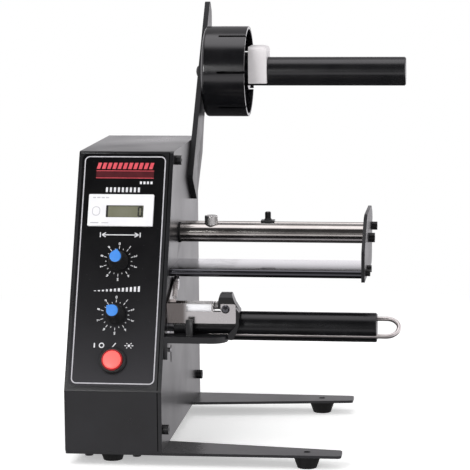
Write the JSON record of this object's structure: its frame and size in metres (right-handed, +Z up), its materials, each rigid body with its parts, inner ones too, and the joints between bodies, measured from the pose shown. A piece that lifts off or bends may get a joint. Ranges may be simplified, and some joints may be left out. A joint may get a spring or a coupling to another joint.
{
  "type": "label dispenser machine",
  "caption": "Desk label dispenser: slanted console with counter, dials and lit button, supply hub on an arm, peel plate under guide bars, pinch bracket and rewind roller.",
  "frame": {"origin": "middle of the machine's outline seen from above, at the underside of the feet", "axes": "+X to the right along the rollers, +Y to the back, +Z up; the controls face -Y"},
  "size_m": [0.2372, 0.2566, 0.3211],
  "materials": {
    "black_paint": "satin black powder coat",
    "arm_paint": "satin black powder coat",
    "black_rubber": "matt",
    "black_screws": "black oxide",
    "zinc": "zinc plated",
    "film": "printed film, satin",
    "white_plastic": "satin",
    "window": "clear over a grey-green display",
    "knob_black": "fine matt",
    "blue": "matt",
    "red_lens": "translucent, lit",
    "dark_plastic": "moulded",
    "board_green": "solder mask",
    "steel": "ground",
    "dull_steel": "laminated core",
    "motor_steel": "nickel plated",
    "brass": "machined",
    "gear_white": "moulded acetal",
    "roller_rubber": "fine matt sleeve",
    "chrome": "polished",
    "satin_steel": "satin",
    "clip_white": "moulded nylon",
    "hub_black": "moulded",
    "shaft_black": "satin",
    "washer_black": "matt"
  },
  "bodies": {
    "machine": {"base_plate": "black_paint", "feet": "black_rubber", "base_screws": "black_screws", "front_panel": "black_paint", "cover": "black_paint", "side_plate": "black_paint", "screw_lugs": "zinc", "side_screws": "black_screws", "face_film": "film", "counter_bezel": "white_plastic", "counter_window": "window", "counter_body": "white_plastic", "length_pot": "brass", "speed_pot": "brass", "button_bezel": "dark_plastic", "control_board": "board_green", "transformer": "dull_steel", "power_inlet": "dark_plastic", "fuse_holder": "dark_plastic", "gear_motor": "motor_steel", "motor_plate": "zinc", "spacers": "zinc", "bearing_housing": "zinc", "ball_bearings": "steel", "supply_arm": "arm_paint", "arm_screws": "black_screws", "supply_shaft": "shaft_black", "shaft_screw": "black_screws", "guide_bar": "chrome", "bar_washer": "washer_black", "rear_rod": "chrome", "peel_plate": "satin_steel", "end_plate": "arm_paint", "end_screws": "black_screws", "inner_screws": "zinc", "support_tray": "black_paint", "bracket_pivot": "steel", "pinch_spring": "chrome"},
    "length_dial": {"length_shaft": "zinc", "length_knob": "knob_black", "length_cap": "blue"},
    "speed_dial": {"speed_shaft": "zinc", "speed_knob": "knob_black", "speed_cap": "blue"},
    "button": {"power_button": "red_lens"},
    "roller": {"drive_shaft": "steel", "roller_gear": "gear_white", "rewind_roller": "roller_rubber"},
    "pinion": {"motor_pinion": "brass"},
    "clip": {"wire_clip": "chrome"},
    "hub": {"supply_hub": "hub_black"},
    "core_lock": {"lock_clip": "clip_white"},
    "guide": {"edge_guide": "dark_plastic"},
    "stop": {"stop_screw": "satin_steel"},
    "bracket": {"pinch_bracket": "satin_steel", "pinch_axle": "steel", "latch_pin": "steel"},
    "presser": {"pinch_roller": "white_plastic"},
    "latch": {"latch_lever": "dark_plastic"}
  },
  "joints": [
    {"name": "length_turn", "type": "hinge", "parent": "machine", "child": "length_dial", "pos_m": [-0.08465, -0.08976, 0.14198], "axis": [0, -0.9135, 0.4067], "range_deg": [-150, 150]},
    {"name": "speed_turn", "type": "hinge", "parent": "machine", "child": "speed_dial", "pos_m": [-0.08465, -0.10591, 0.10572], "axis": [0, -0.9135, 0.4067], "range_deg": [-150, 150]},
    {"name": "power_press", "type": "slide", "parent": "machine", "child": "button", "axis": [0, 0.9135, -0.4067], "range_m": [0, 0.0022], "stiffness_N_per_m": 300, "springref_m": -0.004},
    {"name": "roller_turn", "type": "hinge", "parent": "machine", "child": "roller", "pos_m": [-0.04865, -0.08825, 0.096], "axis": [1, 0, 0], "continuous": true},
    {"name": "pinion_turn", "type": "hinge", "parent": "machine", "child": "pinion", "pos_m": [-0.06065, -0.06757, 0.07865], "axis": [1, 0, 0], "continuous": true},
    {"name": "clip_pull", "type": "slide", "parent": "roller", "child": "clip", "axis": [1, 0, 0], "range_m": [0, 0.12]},
    {"name": "hub_turn", "type": "hinge", "parent": "machine", "child": "hub", "pos_m": [-0.02865, 0.09075, 0.2668], "axis": [1, 0, 0], "continuous": true},
    {"name": "lock_slide", "type": "slide", "parent": "machine", "child": "core_lock", "axis": [1, 0, 0], "range_m": [0, 0.1]},
    {"name": "guide_slide", "type": "slide", "parent": "machine", "child": "guide", "axis": [1, 0, 0], "range_m": [-0.05, 0.06]},
    {"name": "stop_turn", "type": "hinge", "parent": "machine", "child": "stop", "pos_m": [-0.02465, -0.03325, 0.1608], "axis": [0, 0, 1], "continuous": true},
    {"name": "bracket_lift", "type": "hinge", "parent": "machine", "child": "bracket", "pos_m": [-0.04755, -0.06725, 0.1223], "axis": [-1, 0, 0], "range_deg": [0, 25], "stiffness_Nm_per_rad": 0.12, "springref_deg": -28.65, "deforming": ["pinch_spring"]},
    {"name": "presser_turn", "type": "hinge", "parent": "bracket", "child": "presser", "pos_m": [-0.02865, -0.09555, 0.10864], "axis": [1, 0, 0], "continuous": true},
    {"name": "latch_turn", "type": "hinge", "parent": "bracket", "child": "latch", "pos_m": [-0.00575, -0.09525, 0.1101], "axis": [0, -1, 0], "range_deg": [0, 20]}
  ],
  "couplings": [
    {"joint": "pinion_turn", "follows": "roller_turn", "ratio": -1.25}
  ]
}
